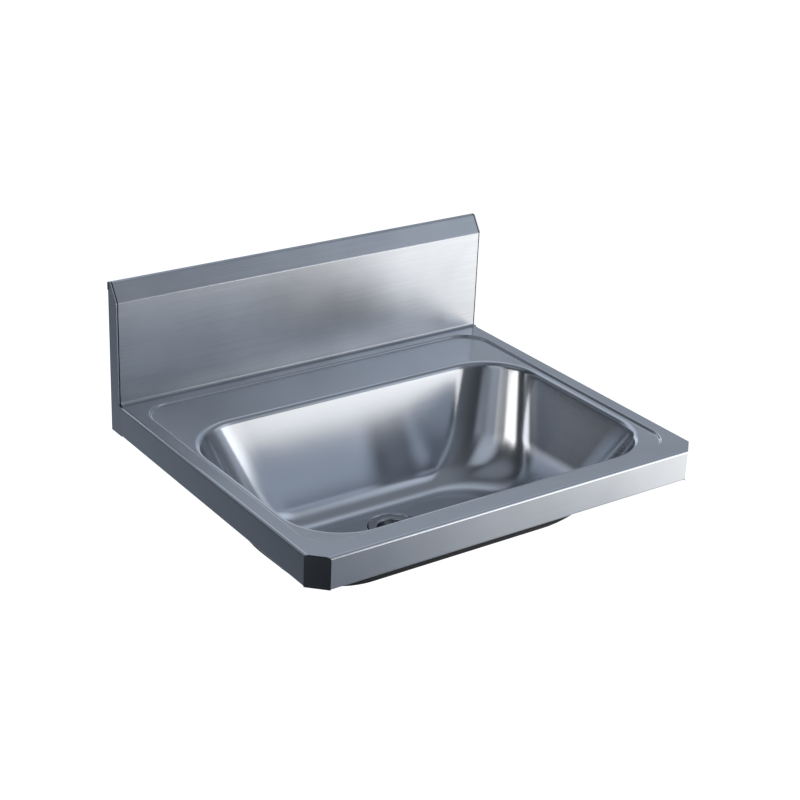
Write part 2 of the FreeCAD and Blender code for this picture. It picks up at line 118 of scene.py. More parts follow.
# counts: points of one ring by stretch, and bands by form
SIDE_STEPS, END_STEPS, ARC_STEPS = 24, 56, 20
RIM_FRONT_STEPS, RIM_CUT_STEPS = 8, 4            # of an arc's points at a front corner
RIM_SIDE_STEPS = ARC_STEPS - RIM_FRONT_STEPS - RIM_CUT_STEPS
FLOOR_SHARES = (0.25, 0.5, 0.75, 0.97)           # rings of the floor, recess to bends
BEND_BANDS, WALL_BANDS, ROLL_BANDS, BEAD_BANDS, FOLD_BANDS = 56, 12, 12, 12, 8
SPLASH_COLUMNS = 48
TURN_STEPS, FLANGE_STEPS, THROAT_STEPS, HUB_STEPS, HEAD_STEPS = 96, 6, 10, 6, 5
CROWDING = 0.25                  # spacing in the middle of an end; 1.0 would be even

SHEET_SHARP, TURNED_SHARP = 35.0, 34.0           # degrees from which an edge is sharp


# ---- mesh helpers ---------------------------------------------------------------------

class Skin:
    """Rows of points in millimetres, and the faces between them."""

    def __init__(self):
        self.points, self.faces, self.uvs, self.indices = [], [], [], []

    def add(self, points):
        first = len(self.points)
        self.points.extend(points)
        return list(range(first, first + len(points)))

    def face(self, corners, index, uvs):
        self.faces.append(tuple(corners))
        self.indices.append(index)
        self.uvs.append(uvs)

    def band(self, inner, outer, closed, index, uv):
        """Quads between two rows. uv gives a point's place on the grain map, across and
        along in millimetres, from its number, its row (0 inner, 1 outer) and its place
        in the row."""
        count = len(inner)
        for j in range(count if closed else count - 1):
            k = (j + 1) % count
            corners = ((inner[j], 0, j), (outer[j], 1, j),
                       (outer[k], 1, j + 1), (inner[k], 0, j + 1))
            self.face([corner[0] for corner in corners], index,
                      [uv(*corner) for corner in corners])

    def stack(self, rows, closed):
        """Bands through all rows; either back to the first row or capped at both ends."""
        pairs = list(zip(rows, rows[1:])) + ([(rows[-1], rows[0])] if closed else [])
        for n, (a, b) in enumerate(pairs):
            self.band(a, b, True, 0, lambda p, side, j, n=n: (j, n + side))
        if not closed:
            for cap in (rows[0], rows[-1][::-1]):
                self.face(cap, 0, [self.points[p][:2] for p in cap])


def row_frame(point):
    """A point in the row frame, in metres."""
    x, y, z = point
    return (x * MM, y * MM, (z - hang_height) * MM)


def make_object(name, skin, materials, body="basin"):
    """A smooth mesh object from a skin, with a grain map in metres."""
    mesh = bpy.data.meshes.new(name)
    mesh.from_pydata([row_frame(p) for p in skin.points], [], skin.faces)
    for material in materials:
        mesh.materials.append(material)
    layer = mesh.uv_layers.new(name="grain")
    for polygon, index, uvs in zip(mesh.polygons, skin.indices, skin.uvs):
        polygon.material_index = index
        polygon.use_smooth = True
        for loop, (u, v) in zip(polygon.loop_indices, uvs):
            layer.data[loop].uv = (u * MM, v * MM)
    piece = bpy.data.objects.new(name, mesh)
    bpy.context.scene.collection.objects.link(piece)
    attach(piece, body)
    return piece


def thicken(piece):
    """Gives a skin its sheet thickness on the side away from its normals, where each face
    takes the material after its own."""
    solid = piece.modifiers.new("sheet", "SOLIDIFY")
    solid.thickness = sheet * MM
    solid.offset = -1
    solid.material_offset = 1
    graph = bpy.context.evaluated_depsgraph_get()
    mesh = bpy.data.meshes.new_from_object(piece.evaluated_get(graph), depsgraph=graph)
    piece.modifiers.clear()
    skin_mesh = piece.data
    piece.data = mesh
    mesh.name = piece.name
    bpy.data.meshes.remove(skin_mesh)
    mesh.set_sharp_from_angle(angle=math.radians(SHEET_SHARP))


def running_lengths(points):
    """Length along a line of points, at each of them."""
    found = [0.0]
    for a, b in zip(points, points[1:]):
        found.append(found[-1] + math.dist(a, b))
    return found


# ---- outlines -------------------------------------------------------------------------

def crowded(t):
    """Spreads -1..1 so that the points lie closest in the middle."""
    return CROWDING * t + (1 - CROWDING) * t ** 3


def outline(half, back, front, back_radius, front_radius):
    """One anticlockwise ring of (x, y): a rounded rectangle, always of the same count."""
    ring = []

    def arc(cx, cy, radius, start):
        for i in range(ARC_STEPS):
            a = math.radians(start + 90.0 * i / ARC_STEPS)
            ring.append((cx + radius * math.cos(a), cy + radius * math.sin(a)))

    low, high = front + front_radius, back - back_radius
    far, near = half - back_radius, half - front_radius
    for i in range(SIDE_STEPS):
        ring.append((half, low + (high - low) * i / SIDE_STEPS))
    arc(far, high, back_radius, 0)
    for i in range(END_STEPS):
        ring.append((far * crowded(1 - 2 * i / END_STEPS), back))
    arc(-far, high, back_radius, 90)
    for i in range(SIDE_STEPS):
        ring.append((-half, high + (low - high) * i / SIDE_STEPS))
    arc(-near, low, front_radius, 180)
    for i in range(END_STEPS):
        ring.append((near * crowded(2 * i / END_STEPS - 1), front))
    arc(near, low, front_radius, 270)
    return ring


class WallProfile:
    """How far a wall of the bowl lies inside the mouth line at each height."""

    def __init__(self, draft_deg, floor_radius):
        draft = math.radians(draft_deg)
        self.bend = floor_radius
        self.roll_z = land - mouth_radius
        wall_top = mouth_radius * math.cos(draft)
        wall_top_z = self.roll_z + mouth_radius * math.sin(draft)
        foot_z = floor_level + floor_radius * (1 - math.sin(draft))
        foot = wall_top + (wall_top_z - foot_z) * math.tan(draft)
        self.bend_x = foot + floor_radius * math.cos(draft)
        self.bend_z = floor_level + floor_radius
        self.upper = (wall_top, wall_top_z)
        self.lower = (foot, foot_z)

    def inset(self, z):
        if z >= self.upper[1]:
            return math.sqrt(max(0.0, mouth_radius ** 2 - (z - self.roll_z) ** 2))
        if z >= self.lower[1]:
            share = (self.upper[1] - z) / (self.upper[1] - self.lower[1])
            return self.upper[0] + share * (self.lower[0] - self.upper[0])
        return self.bend_x - math.sqrt(max(0.0, self.bend ** 2 - (self.bend_z - z) ** 2))


WALLS = [WallProfile(*wall) for wall in (side_wall, back_wall, front_wall)]


def bowl_ring(z):
    """The bowl's outline at a height, tilted towards the waste as the floor is neared."""
    side, back, front = (wall.inset(z) for wall in WALLS)
    share = (land - z) / (land - floor_level)
    opened = mouth_corner_radius + corner_growth * share
    flat = outline(mouth_half - side, mouth_back - back, mouth_front + front,
                   opened - (side + back) / 2, opened - (side + front) / 2)
    tilt = math.radians(floor_fall_deg * share)
    return [(x, bowl_middle + (y - bowl_middle) * math.cos(tilt),
             z - (y - bowl_middle) * math.sin(tilt)) for x, y in flat]


def floor_height(y):
    return floor_level - (y - bowl_middle) * fall_slope


def deck_ring(run, z):
    """A ring of the sunk deck's edge, run millimetres inside the step's outer line."""
    radius = deck_corner_radius - run
    return [(x, y, z) for x, y in outline(
        deck_half - run, deck_back - run, deck_front + run, radius, radius)]


def along_path(path, steps):
    """Points along a broken line; steps holds how many go on each of its stretches."""
    found = []
    for (x0, y0), (x1, y1), count in zip(path, path[1:], steps):
        for i in range(count):
            found.append((x0 + (x1 - x0) * i / count, y0 + (y1 - y0) * i / count))
    return found


def rim_ring(inset):
    """The rim's flat top out to the folds, point for point with the deck's rings."""
    side = half_width - fold_radius - inset
    rear = seam - inset
    front = -(depth - fold_radius - inset)
    reach = cut_reach - inset
    x_mid = deck_half - deck_corner_radius
    y_low, y_high = deck_front + deck_corner_radius, deck_back - deck_corner_radius
    half_arc = ARC_STEPS // 2
    cut_side, cut_front = (side, side - reach), (reach + front, front)

    def flip(point):
        return (-point[0], point[1])

    rise = y_high - y_low
    ring = [(side, y_low + rise * i / SIDE_STEPS) for i in range(SIDE_STEPS)]
    ring += along_path([(side, y_high), (side, rear), (x_mid, rear)],
                       [half_arc, half_arc])
    ring += [(x_mid * crowded(1 - 2 * i / END_STEPS), rear) for i in range(END_STEPS)]
    ring += along_path([(-x_mid, rear), (-side, rear), (-side, y_high)],
                       [half_arc, half_arc])
    ring += [(-side, y_high - rise * i / SIDE_STEPS) for i in range(SIDE_STEPS)]
    ring += along_path([(-side, y_low), flip(cut_side), flip(cut_front), (-x_mid, front)],
                       [RIM_SIDE_STEPS, RIM_CUT_STEPS, RIM_FRONT_STEPS])
    ring += [(x_mid * crowded(2 * i / END_STEPS - 1), front) for i in range(END_STEPS)]
    ring += along_path([(x_mid, front), cut_front, cut_side, (side, y_low)],
                       [RIM_FRONT_STEPS, RIM_CUT_STEPS, RIM_SIDE_STEPS])
    return [(x, y, 0.0) for x, y in ring]


# ---- materials ------------------------------------------------------------------------

NOISE_LOW, NOISE_HIGH = 0.3, 0.7       # most values of a noise texture lie between these
FINE_GRAIN = (3600.0, 30.0, 1.0)       # noise cells in a metre across and along the grain
BROAD_GRAIN = (640.0, 5.0, 1.0)
SMUDGE_SCALE = 11.0
GRAIN_BUMP, GRAIN_HEIGHT = 0.02, 0.00001
CLOUD_SCALE = 0.04                     # of a speckle's own scale


class Nodes:
    """Small helper to wire a node tree."""

    def __init__(self, tree):
        self.tree = tree

    def node(self, kind, **settings):
        made = self.tree.nodes.new(kind)
        for key, value in settings.items():
            setattr(made, key, value)
        return made

    def link(self, source, target):
        self.tree.links.new(source, target)

    def place(self, output):
        return self.node("ShaderNodeTexCoord").outputs[output]

    def stretched(self, source, scale):
        mapping = self.node("ShaderNodeMapping")
        mapping.inputs["Scale"].default_value = scale
        self.link(source, mapping.inputs["Vector"])
        return mapping.outputs["Vector"]

    def noise(self, vector, scale, detail, roughness):
        made = self.node("ShaderNodeTexNoise")
        made.inputs["Scale"].default_value = scale
        made.inputs["Detail"].default_value = detail
        made.inputs["Roughness"].default_value = roughness
        self.link(vector, made.inputs["Vector"])
        return made.outputs["Fac"]

    def remap(self, value, low, high, source_low=NOISE_LOW, source_high=NOISE_HIGH,
              **settings):
        made = self.node("ShaderNodeMapRange", **settings)
        made.inputs["From Min"].default_value = source_low
        made.inputs["From Max"].default_value = source_high
        made.inputs["To Min"].default_value = low
        made.inputs["To Max"].default_value = high
        self.link(value, made.inputs["Value"])
        return made.outputs["Result"]

    def mixed(self, a, b, factor):
        made = self.node("ShaderNodeMix", data_type="FLOAT")
        made.inputs["Factor"].default_value = factor
        self.link(a, made.inputs["A"])
        self.link(b, made.inputs["B"])
        return made.outputs["Result"]

    def reach(self, vector, way):
        """How far a vector goes along a direction."""
        made = self.node("ShaderNodeVectorMath", operation="DOT_PRODUCT")
        self.link(vector, made.inputs[0])
        made.inputs[1].default_value = way
        return made.outputs["Value"]

    def split(self, others, camera, output):
        """The camera's own rays see one shader and all other rays see another."""
        path = self.node("ShaderNodeLightPath")
        mix = self.node("ShaderNodeMixShader")
        self.link(path.outputs["Is Camera Ray"], mix.inputs["Fac"])
        self.link(others, mix.inputs[1])
        self.link(camera, mix.inputs[2])
        self.link(mix.outputs["Shader"], self.tree.nodes[output].inputs["Surface"])


class Surface(Nodes):
    """A new material, by the inputs of its main shader."""

    def __init__(self, name):
        self.material = bpy.data.materials.new(name)
        self.material.use_nodes = True
        super().__init__(self.material.node_tree)
        self.shader = self.tree.nodes["Principled BSDF"]

    def set(self, **values):
        for key, value in values.items():
            self.shader.inputs[key.replace("_", " ")].default_value = value

    def colour(self, tone, dark, light):
        made = self.node("ShaderNodeMix", data_type="RGBA")
        made.inputs["A"].default_value = (*dark, 1)
        made.inputs["B"].default_value = (*light, 1)
        self.link(self.remap(tone, 0.0, 1.0), made.inputs["Factor"])
        self.link(made.outputs["Result"], self.shader.inputs["Base Color"])

    def roughness(self, tone, low, high):
        self.link(self.remap(tone, low, high), self.shader.inputs["Roughness"])

    def bump(self, height, strength, distance):
        made = self.node("ShaderNodeBump")
        made.inputs["Strength"].default_value = strength
        made.inputs["Distance"].default_value = distance
        self.link(height, made.inputs["Height"])
        self.link(made.outputs["Normal"], self.shader.inputs["Normal"])


def brushed_steel(name, dark, light, rough_low, rough_high, anisotropic):
    """Satin sheet steel; the grain runs along v of the grain map, which is in metres."""
    m = Surface(name)
    uv = m.node("ShaderNodeUVMap", uv_map="grain").outputs["UV"]
    fine = m.noise(m.stretched(uv, FINE_GRAIN), 1.0, 2.0, 0.6)
    broad = m.noise(m.stretched(uv, BROAD_GRAIN), 1.0, 3.0, 0.6)
    grain = m.mixed(fine, broad, 0.5)
    smudge = m.noise(m.place("Object"), SMUDGE_SCALE, 2.0, 0.5)
    m.colour(m.mixed(grain, smudge, 0.4), dark, light)
    m.roughness(m.mixed(grain, smudge, 0.5), rough_low, rough_high)
    m.set(Metallic=1.0, Anisotropic=anisotropic)
    tangent = m.node("ShaderNodeTangent", direction_type="UV_MAP", uv_map="grain")
    m.link(tangent.outputs["Tangent"], m.shader.inputs["Tangent"])
    m.bump(grain, GRAIN_BUMP, GRAIN_HEIGHT)
    return m.material


def speckled(name, dark, light, rough_low, rough_high, metallic, scale, bump=0.3,
             distance=0.0001):
    """A plain surface with a fine irregular grain."""
    m = Surface(name)
    place = m.place("Object")
    fine = m.noise(place, scale, 3.0, 0.6)
    cloud = m.noise(place, scale * CLOUD_SCALE, 3.0, 0.6)
    tone = m.mixed(fine, cloud, 0.5)
    m.colour(tone, dark, light)
    m.roughness(tone, rough_low, rough_high)
    m.set(Metallic=metallic)
    m.bump(fine, bump, distance)
    return m.material


STEEL_DARK, STEEL_LIGHT = (0.69, 0.72, 0.77), (0.80, 0.83, 0.88)
bowl_steel = brushed_steel("bowl_steel", STEEL_DARK, STEEL_LIGHT, 0.15, 0.19, 0.65)
rim_steel = brushed_steel("rim_steel", STEEL_DARK, STEEL_LIGHT, 0.18, 0.24, 0.6)
splash_steel = brushed_steel("splash_steel", (0.51, 0.54, 0.58), (0.76, 0.79, 0.84),
                             0.27, 0.33, 0.6)
plate_steel = brushed_steel("plate_steel", STEEL_DARK, STEEL_LIGHT, 0.2, 0.3, 0.0)
mill_steel = speckled("mill_steel", (0.46, 0.47, 0.49), (0.58, 0.59, 0.61),
                      0.34, 0.5, 1.0, 900)
sound_coat = speckled("sound_coat", (0.014, 0.014, 0.015), (0.032, 0.032, 0.034),
                      0.7, 0.9, 0.0, 700, 1.0, 0.0006)
pad_rubber = speckled("pad_rubber", (0.012, 0.012, 0.013), (0.03, 0.03, 0.032),
                      0.6, 0.85, 0.0, 1100, 0.5, 0.0002)
seal_rubber = speckled("seal_rubber", (0.010, 0.010, 0.010), (0.03, 0.03, 0.03),
                       0.5, 0.7, 0.0, 1600)
zinc = speckled("bright_zinc", (0.52, 0.53, 0.56), (0.72, 0.73, 0.75),
                0.24, 0.4, 1.0, 1400)
brass = speckled("backnut_brass", (0.50, 0.36, 0.15), (0.70, 0.54, 0.26),
                 0.3, 0.46, 1.0, 1200)
# near black: painted shade, which stands in for the shadow in the joint between
# splashback and end plates
painted_joint_shade = speckled("painted_joint_shade", (0.03, 0.03, 0.035), (0.07, 0.07, 0.08),
                       0.5, 0.7, 0.6, 1500)
satin_plate = speckled("satin_plate", (0.50, 0.52, 0.55), (0.62, 0.64, 0.67),
                       0.2, 0.32, 1.0, 1300, 0.2, 0.00005)


# ---- rim, deck and bowl in one skin ---------------------------------------------------

def bowl_rings():
    """Rings from the waste hole through recess, floor, bends and walls to the mouth."""
    floor_ring = bowl_ring(floor_level)

    def circle(radius, height):
        ring = []
        for x, y, _ in floor_ring:
            a = math.atan2(y - waste_y, x)
            px, py = radius * math.cos(a), waste_y + radius * math.sin(a)
            ring.append((px, py, height(py)))
        return ring

    # hole, seat, and the recess's wall with small rolls at its foot and lip
    rings = [circle(radius, lambda y: seat_level)
             for radius in (waste_hole_radius, waste_hole_radius + hole_flat)]
    for out, up in SEAT_ROLL:
        rings.append(circle(recess_seat_radius + out, lambda y, up=up: seat_level + up))
    for out, down in LIP_ROLL:
        rings.append(circle(recess_radius + out,
                            lambda y, down=down: floor_height(y) - down))

    # sloping floor, out to the bends
    inner = rings[-1]
    for share in FLOOR_SHARES:
        rings.append([tuple(p + (q - p) * share for p, q in zip(a, b))
                      for a, b in zip(inner, floor_ring)])

    # bends, walls and the rolled mouth
    longest = max(WALLS, key=lambda wall: wall.bend)
    wall_foot = max(wall.lower[1] for wall in WALLS)
    roll_end = min(wall.upper[1] for wall in WALLS)
    first = math.asin((longest.bend_z - wall_foot) / longest.bend)
    swing = math.pi / 2 - first
    turn = math.acos((roll_end - longest.roll_z) / mouth_radius)
    heights = [longest.bend_z
               - longest.bend * math.sin(math.pi / 2 - swing * i / BEND_BANDS)
               for i in range(BEND_BANDS + 1)]
    heights += [wall_foot + (roll_end - wall_foot) * i / WALL_BANDS
                for i in range(1, WALL_BANDS)]
    heights += [longest.roll_z + mouth_radius * math.cos(turn * (1 - i / ROLL_BANDS))
                for i in range(ROLL_BANDS + 1)]
    return rings + [bowl_ring(z) for z in heights]


def deck_rings():
    """Rings of the deck's edge, of the bead up to the rim, and of the rim's flat top."""
    flat_low, foot, top, flat_high = bead_stations
    rings = [deck_ring(flat_low, land)]
    for i in range(1, BEAD_BANDS + 1):
        t = i / BEAD_BANDS
        rings.append(deck_ring(foot + (top - foot) * t,
                               land + step_depth * t * t * (3 - 2 * t)))
    return rings + [deck_ring(flat_high, 0.0), rim_ring(short_run), rim_ring(0.0)]


def apron_profile():
    """Fold, face and return of an apron, as (out, up) from the rim's edge."""
    turns = [math.radians(90 * i / FOLD_BANDS) for i in range(FOLD_BANDS + 1)]
    profile = [(fold_radius * math.sin(a), fold_radius * (math.cos(a) - 1))
               for a in turns[1:]]
    profile.append((fold_radius, -fold_radius - short_run))
    profile.append((fold_radius, -apron_height + apron_foot_radius + short_run))
    profile += [(fold_radius - apron_foot_radius * (1 - math.cos(a)),
                 -apron_height + apron_foot_radius * (1 - math.sin(a))) for a in turns]
    profile.append((fold_radius - apron_foot_radius - short_run, -apron_height))
    profile.append((fold_radius - apron_return, -apron_height))
    return profile


def apron_lines(count):
    """Each apron's places on the rim's edge, its side, and which ends lie on a cut."""
    rear_right = SIDE_STEPS + ARC_STEPS // 2
    rear_left = SIDE_STEPS + ARC_STEPS + END_STEPS + ARC_STEPS // 2
    front_left = (2 * SIDE_STEPS + 2 * ARC_STEPS + END_STEPS
                  + RIM_SIDE_STEPS + RIM_CUT_STEPS)
    front_right = 2 * SIDE_STEPS + 3 * ARC_STEPS + 2 * END_STEPS + RIM_FRONT_STEPS
    right = [i % count
             for i in range(front_right + RIM_CUT_STEPS, count + rear_right + 1)]
    front = list(range(front_left, front_right + 1))
    left = list(range(rear_left, front_left - RIM_CUT_STEPS + 1))
    return (right, 1, (0,)), (front, 0, (0, len(front) - 1)), (left, -1, (len(left) - 1,))


def apron_row(edge, side, cut_ends, out, up):
    """An apron's points at one place of its profile; side: 1 right, 0 front, -1 left."""
    mitre = (fold_radius - out) * (math.sqrt(2) - 1)
    below = up < -fold_radius
    made = []
    for n, (x, y, _) in enumerate(edge):
        px, py = (x + side * out, y) if side else (x, y - out)
        if n in cut_ends and side:
            py = corner_cut - depth + mitre if below else abs(px) - cut_reach
        elif n in cut_ends:
            reach = half_width - corner_cut - mitre if below else cut_reach + py
            px = math.copysign(reach, x)
        made.append((px, py, up))
    return made


def make_basin_skin():
    skin = Skin()
    bowl, deck = 0, 2                  # slots: each is followed by its under side's
    rings = bowl_rings()
    mouth = rings[-1]
    around = running_lengths(mouth + mouth[:1])
    along = [0.0]
    for a, b in zip(rings, rings[1:]):
        along.append(along[-1] + sum(math.dist(p, q) for p, q in zip(a, b)) / len(a))
    rows = [skin.add(ring) for ring in rings]
    for i, (a, b) in enumerate(zip(rows, rows[1:])):
        skin.band(a, b, True, bowl, lambda p, side, j, i=i: (along[i + side], around[j]))

    edge = rows[-1]
    for ring in deck_rings():
        current = skin.add(ring)
        skin.band(edge, current, True, deck,
                  lambda p, side, j: (skin.points[p][1], skin.points[p][0]))
        edge = current

    profile = apron_profile()
    run = running_lengths([(0.0, 0.0)] + profile)
    for line, side, cut_ends in apron_lines(len(edge)):
        inner = [edge[i] for i in line]
        start = [skin.points[p] for p in inner]
        axis = 1 if side else 0        # the grain runs along the apron
        for level, (out, up) in enumerate(profile):
            outer = skin.add(apron_row(start, side, cut_ends, out, up))
            skin.band(inner, outer, False, deck,
                      lambda p, row, j, level=level, axis=axis: (
                          run[level + row], skin.points[p][axis]))
            inner = outer

    piece = make_object("basin_skin", skin,
                        [bowl_steel, sound_coat, rim_steel, mill_steel])
    thicken(piece)
    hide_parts("deck_and_bowl")


make_basin_skin()


# ---- splashback -----------------------------------------------------------------------

def rounded_path(points, radii):
    """A broken line in a plane with its corners rounded, and short runs beside them."""
    path = [points[0]]
    corners = zip(points, points[1:], points[2:], radii)
    for (ax, ay), (bx, by), (cx, cy), radius in corners:
        la, lc = math.dist((ax, ay), (bx, by)), math.dist((bx, by), (cx, cy))
        ux, uy, wx, wy = (ax - bx) / la, (ay - by) / la, (cx - bx) / lc, (cy - by) / lc
        half = math.acos(max(-1.0, min(1.0, ux * wx + uy * wy))) / 2
        reach = radius / math.tan(half)
        mid = math.hypot(ux + wx, uy + wy)
        ox = bx + (ux + wx) / mid * radius / math.sin(half)
        oy = by + (uy + wy) / mid * radius / math.sin(half)
        start = (bx + ux * reach, by + uy * reach)
        end = (bx + wx * reach, by + wy * reach)
        a0 = math.atan2(start[1] - oy, start[0] - ox)
        a1 = math.atan2(end[1] - oy, end[0] - ox)
        while a1 - a0 > math.pi:
            a1 -= 2 * math.pi
        while a1 - a0 < -math.pi:
            a1 += 2 * math.pi
        path.append((start[0] + ux * short_run, start[1] + uy * short_run))
        for i in range(FOLD_BANDS + 1):
            a = a0 + (a1 - a0) * i / FOLD_BANDS
            path.append((ox + radius * math.cos(a), oy + radius * math.sin(a)))
        path.append((end[0] + wx * short_run, end[1] + wy * short_run))
    path.append(points[-1])
    return path


def make_splashback():
    steel, groove_shade = 0, 2               # slots: each is followed by its rear side's
    corners = [(0.0, splash_height - splash_lip), (0.0, splash_height),
               (-splash_ledge, splash_height), (splash_face, splash_face_height),
               (splash_face, 0.0), (seam, 0.0)]
    path = rounded_path(corners, [splash_lip_fold, fold_radius, fold_radius, cove_radius])
    run = running_lengths(path)

    # the lip alone runs on past the end plates, and beside them the rest of the path
    # lies a groove's depth below the sheet's face
    lip_count = sum(1 for y, z in path if y > -sheet and z > splash_face_height)
    lip = path[:lip_count]
    sunk = path[:lip_count]
    for n, (y, z) in enumerate(path[lip_count:], lip_count):
        (ya, za), (yb, zb) = path[n - 1], path[min(n + 1, len(path) - 1)]
        length = math.dist((ya, za), (yb, zb))
        sunk.append((y + (za - zb) / length * joint_depth,
                     z + (yb - ya) / length * joint_depth))

    lip_end = half_width + splash_lip_proud
    outer = half_width - sheet
    reach = outer - joint_width
    stations = [(-lip_end, lip), (-outer, sunk), (-reach, sunk)]
    stations += [(-reach + 2 * reach * i / SPLASH_COLUMNS, path)
                 for i in range(SPLASH_COLUMNS + 1)]
    stations += [(reach, sunk), (outer, sunk), (lip_end, lip)]
    # the groove's floor and wall take the near-black material: painted shade of the joint
    # beside the end plates
    groove_bands = (1, 2, len(stations) - 4, len(stations) - 3)
    skin = Skin()
    rows = [skin.add([(x, y, z) for y, z in line]) for x, line in stations]
    for n, (left, right) in enumerate(zip(rows, rows[1:])):
        count = min(len(left), len(right))
        index = groove_shade if n in groove_bands else steel
        skin.band(right[:count], left[:count], False, index,
                  lambda p, side, j: (run[j], skin.points[p][0]))
    piece = make_object("splashback_skin", skin,
                        [splash_steel, mill_steel, painted_joint_shade, mill_steel])
    thicken(piece)
    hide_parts("splashback")


make_splashback()


# ---- waste fitting and earth screw, turned --------------------------------------------

def hexagon(flats):
    """Radius of a hexagon at an angle."""
    sixth = math.pi / 3
    return lambda angle, z: flats / 2 / math.cos((angle + sixth / 2) % sixth - sixth / 2)


def thread(radius, pitch, cut):
    """Radius of a rounded thread, crests at radius."""
    return lambda angle, z: (
        radius - cut / 2 * (1 + math.cos(2 * math.pi * z / pitch + angle)))


def turn_profile(skin, profile, centre, closed):
    """Turns (radius or radius function, z) about an upright axis, with bands between."""
    cx, cy = centre
    rows = []
    for radius, z in profile:
        ring = []
        for i in range(TURN_STEPS):
            a = 2 * math.pi * i / TURN_STEPS
            r = radius(a, z) if callable(radius) else radius
            ring.append((cx + r * math.cos(a), cy + r * math.sin(a), z))
        rows.append(skin.add(ring))
    skin.stack(rows, closed)


def arc_points(cx, cz, radius, start, end, steps):
    """Points (r, z) of an arc in a turned profile, angles in degrees from outward."""
    found = []
    for i in range(steps + 1):
        a = math.radians(start + (end - start) * i / steps)
        found.append((cx + radius * math.cos(a), cz + radius * math.sin(a)))
    return found


def finish_turned(skin, name, material, node):
    piece = make_object(name, skin, [material])
    piece.data.set_sharp_from_angle(angle=math.radians(TURNED_SHARP))
    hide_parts(node)


def cross_ring(inset, z):
    """Outline of the waste's four bars and round hub, drawn in by inset."""
    reach = (tail_bore_radius + thread_radius) / 2
    arm, hub = cross_bar_width / 2 - inset, cross_hub_radius - inset
    side = math.sqrt(hub ** 2 - arm ** 2)
    corner = math.asin(arm / hub)
    swing = math.pi / 2 - 2 * corner
    quarter = [(reach, -arm), (reach, arm), (side + cross_web, arm)]
    for i in range(HUB_STEPS + 1):
        a = corner + swing * i / HUB_STEPS
        quarter.append((hub * math.cos(a), hub * math.sin(a)))
    quarter.append((arm, side + cross_web))
    ring = []
    for turn in (math.pi / 2 * n for n in range(4)):
        for x, y in quarter:
            ring.append((x * math.cos(turn) - y * math.sin(turn),
                         waste_y + x * math.sin(turn) + y * math.cos(turn), z))
    return ring


def make_waste():
    """Flange with a rolled lip, throat, cross bars, and the threaded tail."""
    under = seat_level + seal_thickness
    rim = under + flange_thickness
    bottom = seat_level - waste_tail
    bar_top = seat_level - cross_bar_drop
    bar_bottom = bar_top - cross_bar_height
    step = bar_top + throat_step
    half = flange_thickness / 2
    tail_end = thread_radius - waste_chamfer

    # from the flange's under side over its top, down the throat and round the tail's end
    profile = [(flange_radius, under)]
    profile += arc_points(flange_radius - half, rim - half, half, 0, 90, FLANGE_STEPS)
    profile += [(flange_radius - 2 * half, rim),
                (throat_radius + throat_lip + edge_ease, rim)]
    profile += arc_points(throat_radius + throat_lip, rim - throat_lip, throat_lip,
                          90, 180, THROAT_STEPS)
    profile += [(throat_radius, step + edge_ease), (throat_radius + edge_ease, step),
                (tail_bore_radius - bore_ease, step),
                (tail_bore_radius, step - bore_ease),
                (tail_bore_radius, bottom + edge_ease),
                (tail_bore_radius + edge_ease, bottom), (tail_end - edge_ease, bottom),
                (tail_end, bottom + edge_ease / 3)]

    # up the thread, whose crests rise out of the chamfer, and back to the flange
    cut = thread(thread_radius, tail_pitch, tail_cut)
    start, end = bottom + tail_thread_start, seat_level - sheet - tail_thread_end
    count = int((end - start) / tail_pitch * tail_rows)
    for i in range(count + 1):
        z = start + (end - start) * i / count
        crest = tail_end + waste_chamfer * min(1.0, (z - bottom) / tail_lead)
        profile.append((lambda a, z, crest=crest: min(cut(a, z), crest), z))
    profile += [(thread_radius, end + short_run), (thread_radius, under)]
    skin = Skin()
    turn_profile(skin, profile[::-1], (0.0, waste_y), True)

    levels = [(inset, bar_top - drop) for inset, drop in CROSS_TOP]
    levels += [(inset, bar_bottom + up) for inset, up in CROSS_FOOT]
    skin.stack([skin.add(cross_ring(inset, z)) for inset, z in levels], False)
    finish_turned(skin, "waste_fitting", satin_plate, "waste_body")


def make_earth_screw():
    """Low cap head with a hexagon socket, and a threaded shank."""
    centre = (sheet - half_width + tag_reach - tag_width / 2, -tag_from_wall)
    seat = earth_washer_thickness - tag_drop
    top, end = seat + earth_head_height, seat - earth_screw_length

    # from the socket's bottom over the head to the plain neck
    socket = hexagon(socket_flats)
    profile = [(socket, top - socket_depth), (socket, top - socket_ease)]
    profile += [(radius, top - drop) for radius, drop in SOCKET_MOUTH]
    profile += arc_points(earth_head_radius - head_round, top - head_round, head_round,
                          90, 0, HEAD_STEPS)
    profile += [(earth_head_radius, seat + bore_ease),
                (earth_head_radius - bore_ease, seat),
                (earth_screw_radius + edge_ease, seat),
                (earth_screw_radius, seat - bore_ease),
                (earth_screw_radius, seat - screw_neck)]

    # down the thread to the tip
    cut = thread(earth_screw_radius, screw_pitch, screw_cut)
    high, low = seat - screw_neck - bore_ease, end + edge_ease
    for i in range(screw_rows + 1):
        z = high + (low - high) * i / screw_rows
        crest = screw_lead_radius + (z - end) * screw_lead_slope
        profile.append((lambda a, z, crest=crest: min(cut(a, z), crest), z))
    profile.append((screw_tip_radius, end))
    skin = Skin()
    turn_profile(skin, profile, centre, False)
    finish_turned(skin, "earth_cap_screw", zinc, "earth_screw")


make_waste()
make_earth_screw()


# ---- carried-over pieces --------------------------------------------------------------

WELD_REACH = 0.001               # millimetres; the solids' facets share no corners
EDGE_ANGLE, EDGE_SEGMENTS = 40.0, 2


